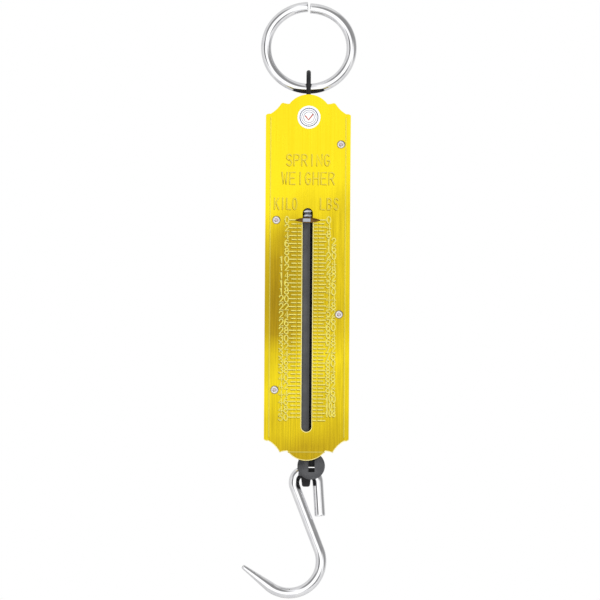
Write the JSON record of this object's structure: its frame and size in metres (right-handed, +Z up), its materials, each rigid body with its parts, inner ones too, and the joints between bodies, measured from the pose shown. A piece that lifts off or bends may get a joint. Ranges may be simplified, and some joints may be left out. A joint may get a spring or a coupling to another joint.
{
  "type": "hanging spring scale",
  "caption": "Hanging spring scale: slotted flat face with a dual linear dial, coil spring in a boxed case, sliding bar with pointer, split ring above and open steel hook below.",
  "frame": {"origin": "top of the ring's opening, the point the scale hangs from, on the load line", "axes": "+Z up along the scale, -Y out of the face, +X to the reader's right"},
  "size_m": [0.0595, 0.0244, 0.3168],
  "materials": {
    "bright_wire": "bright zinc or nickel plated steel wire",
    "yellow_face": "brushed sheet under clear yellow lacquer",
    "black_steel": "satin black enamel on pressed steel",
    "rivet_steel": "plain steel, slightly worn",
    "spring_steel": "oiled spring wire",
    "brass": "dull brass sheet",
    "sticker_white": "printed paper label"
  },
  "bodies": {
    "ring": {"hanging_ring": "bright_wire"},
    "case": {"shackle": "black_steel", "top_yoke": "black_steel", "spring_anchor_pin": "rivet_steel", "face_plate": "yellow_face", "back_case": "black_steel", "case_rivets": "rivet_steel", "bottom_guide": "black_steel", "guide_rivets": "rivet_steel", "inspection_sticker": "sticker_white", "main_spring": "spring_steel"},
    "slide": {"spring_lug": "black_steel", "spring_lug_rivet": "black_steel", "draw_bar": "black_steel", "pointer": "brass", "stop_boss": "black_steel", "boss_pin": "rivet_steel", "hook_lug": "black_steel", "hook_lug_rivets": "black_steel"},
    "hook": {"hook": "bright_wire"}
  },
  "joints": [
    {"name": "case_swing", "type": "hinge", "parent": "ring", "child": "case", "pos_m": [0, 0, -0.0407], "axis": [1, 0, 0], "range_deg": [-90, 90]},
    {"name": "draw_slide", "type": "slide", "parent": "case", "child": "slide", "axis": [0, 0, -1], "range_m": [0, 0.1045], "stiffness_N_per_m": 4690, "springref_m": -0.0005, "deforming": ["main_spring"]},
    {"name": "hook_swing", "type": "hinge", "parent": "slide", "child": "hook", "pos_m": [0, 0, -0.2498], "axis": [0, 1, 0], "range_deg": [-45, 45]}
  ]
}
